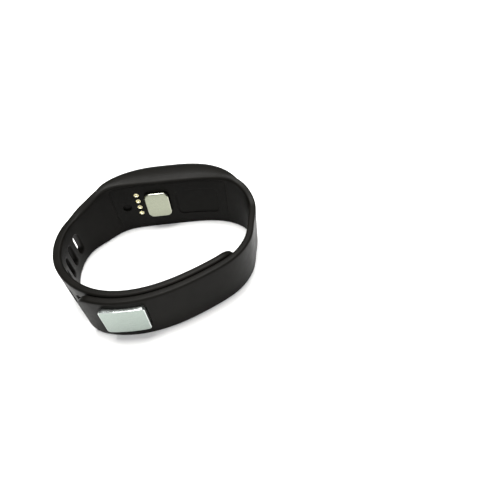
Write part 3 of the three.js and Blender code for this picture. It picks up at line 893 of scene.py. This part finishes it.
def stand_for(piece, slot, body, *nodes):
    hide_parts(*nodes)
    if body:
        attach(piece, body)
    return piece


def joint_place(name):
    joint = next(j for j in frame["joints"] if j["name"] == name)
    return Vector(joint["pos_m"])


stand_for(band_sleeve(), "silicone", "tracker", "band_sleeve")
strap = stand_for(hole_strap(), "silicone", None, "hole_strap", "hole_strap_tail")
hinge = joint_place("strap_tail_flex")
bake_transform(strap)
strap = stand_for(clasp_strap(), "silicone", None, "clasp_strap", "clasp_strap_tab")
hinge = joint_place("clasp_tab_flex")
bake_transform(strap)
stand_for(clasp_plate(), "clasp_steel", "clasp_tab", "clasp_plate")
for number, side in ((1, -1), (2, 1)):
    stand_for(clasp_peg(number, side), "clasp_steel", "clasp_tab", f"clasp_peg_{number}")
stand_for(back_cover(), "hard_black", "tracker", "back_cover")
stand_for(electrode_pad(), "electrode_steel", "tracker", "electrode_pad")
for index in range(CONTACT_COUNT):
    stand_for(charge_contact(index), "gold", "tracker", f"charge_contact_{index + 1}")
stand_for(display_window(), "lens", "tracker", "display_lens")

# ---- The nodes inside the capsule keep their CAD shapes ----

INNER_FINISHES = {
    "front_shell": HARD_BLACK,
    "cover_gasket": plain_finish("seal_grey", (0.25, 0.25, 0.26), 0.7, grain=0.1 * MM),
    "electrode_spring_pin": GOLD,
    "locating_magnet": plain_finish("magnet_nickel", (0.5, 0.5, 0.52), 0.25, 1.0, grain=0.1 * MM),
    "circuit_board": plain_finish("solder_mask", (0.02, 0.13, 0.07), 0.4, grain=0.2 * MM),
    "battery_pad": plain_finish("foam_dark", (0.1, 0.1, 0.1), 0.95, grain=0.4 * MM, height=0.1 * MM),
    "battery": plain_finish("pouch_foil", (0.6, 0.61, 0.62), 0.35, 0.8, grain=0.6 * MM,
                            height=0.02 * MM),
    "battery_lead_red": plain_finish("lead_red", (0.5, 0.03, 0.03), 0.45),
    "battery_lead_black": plain_finish("lead_black", (0.03, 0.03, 0.03), 0.45),
    "oled_panel": plain_finish("panel_glass", (0.02, 0.022, 0.03), 0.12, grain=1 * MM),
    "display_frame": HARD_BLACK,
    "display_flex": plain_finish("amber_film", (0.55, 0.28, 0.05), 0.35, grain=0.3 * MM),
    "clock_crystal": plain_finish("crystal_can", (0.7, 0.7, 0.68), 0.3, 1.0, grain=0.2 * MM),
    "radio_antenna": plain_finish("antenna_ceramic", (0.75, 0.74, 0.7), 0.4, grain=0.2 * MM),
}
INNER_FINISHES["battery_board"] = INNER_FINISHES["circuit_board"]
chip = plain_finish("chip_moulding", (0.04, 0.04, 0.045), 0.5, grain=0.1 * MM, height=0.006 * MM)
for node in ("processor", "memory_chip", "motion_sensor", "charge_chip"):
    INNER_FINISHES[node] = chip
motor_steel = plain_finish("motor_steel", (0.6, 0.6, 0.6), 0.3, 1.0, grain=0.15 * MM)
for node in ("motor_can", "motor_shaft", "motor_weight"):
    INNER_FINISHES[node] = motor_steel
for node, material in INNER_FINISHES.items():
    mesh = frame["nodes"][node].data
    mesh.materials.clear()
    mesh.materials.append(material)

# ---- Floor, light and camera ----

def make_floor():
    bpy.ops.mesh.primitive_plane_add(size=4, location=(0, 0, 0))
    floor = bpy.context.object
    floor.name = "floor"
    floor.data.materials.append(floor_finish())


def make_light(name, place, size, watts, colour):
    """A rectangular light that faces the middle of the floor."""
    data = bpy.data.lights.new(name, "AREA")
    data.shape = "RECTANGLE"
    data.size, data.size_y = size
    data.energy = watts
    data.color = colour
    light = bpy.data.objects.new(name, data)
    bpy.context.scene.collection.objects.link(light)
    light.location = place
    light.rotation_euler = (-Vector(place)).to_track_quat("-Z", "Y").to_euler()


def make_world(colour, strength):
    world = bpy.data.worlds.new("studio")
    bpy.context.scene.world = world
    world.use_nodes = True
    background = world.node_tree.nodes["Background"]
    background.inputs["Color"].default_value = (*colour, 1)
    background.inputs["Strength"].default_value = strength


# The camera stands in front of the clasp and looks down at 46 degrees.
CAMERA_PLACE = (0.02618, -0.08802, 0.09223)
CAMERA_FORWARD = (0.04844, 0.69277, -0.71953)
CAMERA_RIGHT = (0.99453, -0.10017, -0.02949)
CAMERA_LENS = 26.35                     # in millimetres, on a sensor 36 mm wide
CAMERA_SHIFT = -0.024


def make_camera():
    data = bpy.data.cameras.new("camera")
    data.sensor_width = 36
    data.lens = CAMERA_LENS
    data.shift_x = CAMERA_SHIFT
    data.clip_start = 5 * MM
    camera = bpy.data.objects.new("camera", data)
    bpy.context.scene.collection.objects.link(camera)
    forward = Vector(CAMERA_FORWARD).normalized()
    right = Vector(CAMERA_RIGHT).normalized()
    up = right.cross(forward)
    axes = Matrix((right, up, -forward)).transposed().to_4x4()
    camera.matrix_world = Matrix.Translation(CAMERA_PLACE) @ axes
    bpy.context.scene.camera = camera


make_floor()
make_world((0.93, 0.97, 1.0), 0.16)
make_light("overhead", (-0.02, 0.065, 0.6), (0.36, 0.22), 5.6, (1, 0.99, 0.97))
make_light("back_strip", (0.0, 0.3, 0.5), (0.35, 0.1), 2.0, (1, 1, 1))
make_light("front_fill", (0.1, -0.5, 0.5), (0.9, 0.6), 3.4, (1, 1, 1))
make_camera()
bpy.context.scene.view_settings.view_transform = "Standard"
